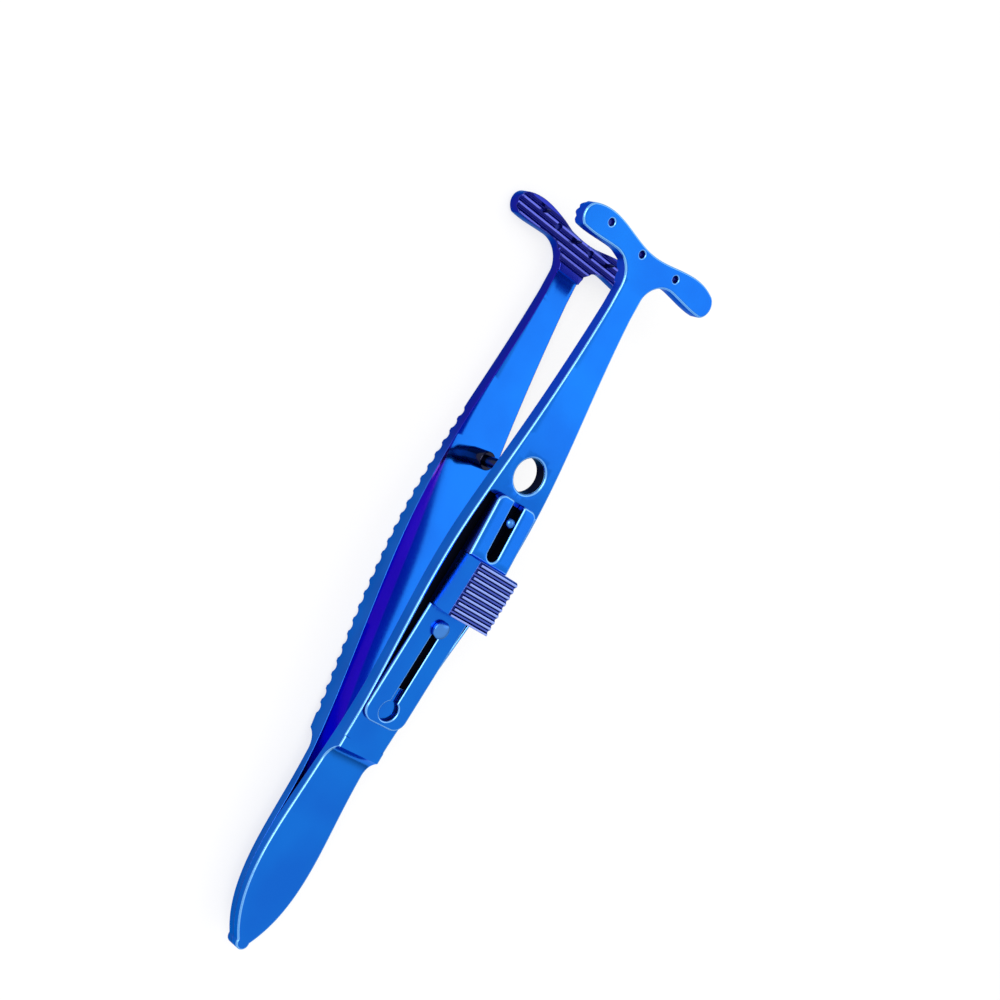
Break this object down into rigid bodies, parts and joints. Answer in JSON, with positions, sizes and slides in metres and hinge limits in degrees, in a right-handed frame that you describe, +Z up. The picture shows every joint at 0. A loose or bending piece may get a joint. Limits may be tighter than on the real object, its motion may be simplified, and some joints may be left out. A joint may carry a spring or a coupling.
{
  "type": "eyelid forceps",
  "caption": "Thumb forceps of blue anodised titanium with two spring arms, wide T-shaped jaws with ridges and fine pins, and a thumb slide that locks the closed arms.",
  "frame": {"origin": "centre of the overall box, on the surface that the instrument lies on", "axes": "+X along the instrument towards the jaws, +Y across the jaws to the left when the jaws point away, +Z up through the thumb slide; the instrument lies open and at rest on the grip ribs of its rear arm"},
  "size_m": [0.1002, 0.0248, 0.0177],
  "materials": {
    "arms": "satin blue anodised titanium",
    "slide": "satin blue anodised titanium",
    "pins": "turned blue anodised titanium"
  },
  "bodies": {
    "leaves": {"front_spring_leaf": "arms", "rear_spring_leaf": "arms"},
    "front": {"front_arm": "arms", "guide_pin": "pins", "fork_pin": "pins", "front_jaw_pin_1": "pins", "front_jaw_pin_2": "pins", "front_jaw_pin_3": "pins"},
    "rear": {"rear_arm": "arms", "lock_stud": "pins", "rear_jaw_pin_1": "pins", "rear_jaw_pin_2": "pins", "rear_jaw_pin_3": "pins"},
    "slide": {"keyhole_plate": "slide", "thumb_block": "slide", "lock_fork": "slide"}
  },
  "joints": [
    {"name": "front_arm_squeeze", "type": "hinge", "parent": "leaves", "child": "front", "pos_m": [-0.02915, 0, 0.00602], "axis": [0, 1, 0], "range_deg": [0, 4.35], "stiffness_Nm_per_rad": 2},
    {"name": "rear_arm_squeeze", "type": "hinge", "parent": "leaves", "child": "rear", "pos_m": [-0.02907, 0, 0.00412], "axis": [0, -1, 0], "range_deg": [0, 4.35], "stiffness_Nm_per_rad": 2},
    {"name": "lock_slide", "type": "slide", "parent": "front", "child": "slide", "axis": [0.9906, 0, 0.1371], "range_m": [0, 0.0045]}
  ],
  "couplings": [
    {"joint": "rear_arm_squeeze", "follows": "front_arm_squeeze", "ratio": 1}
  ]
}
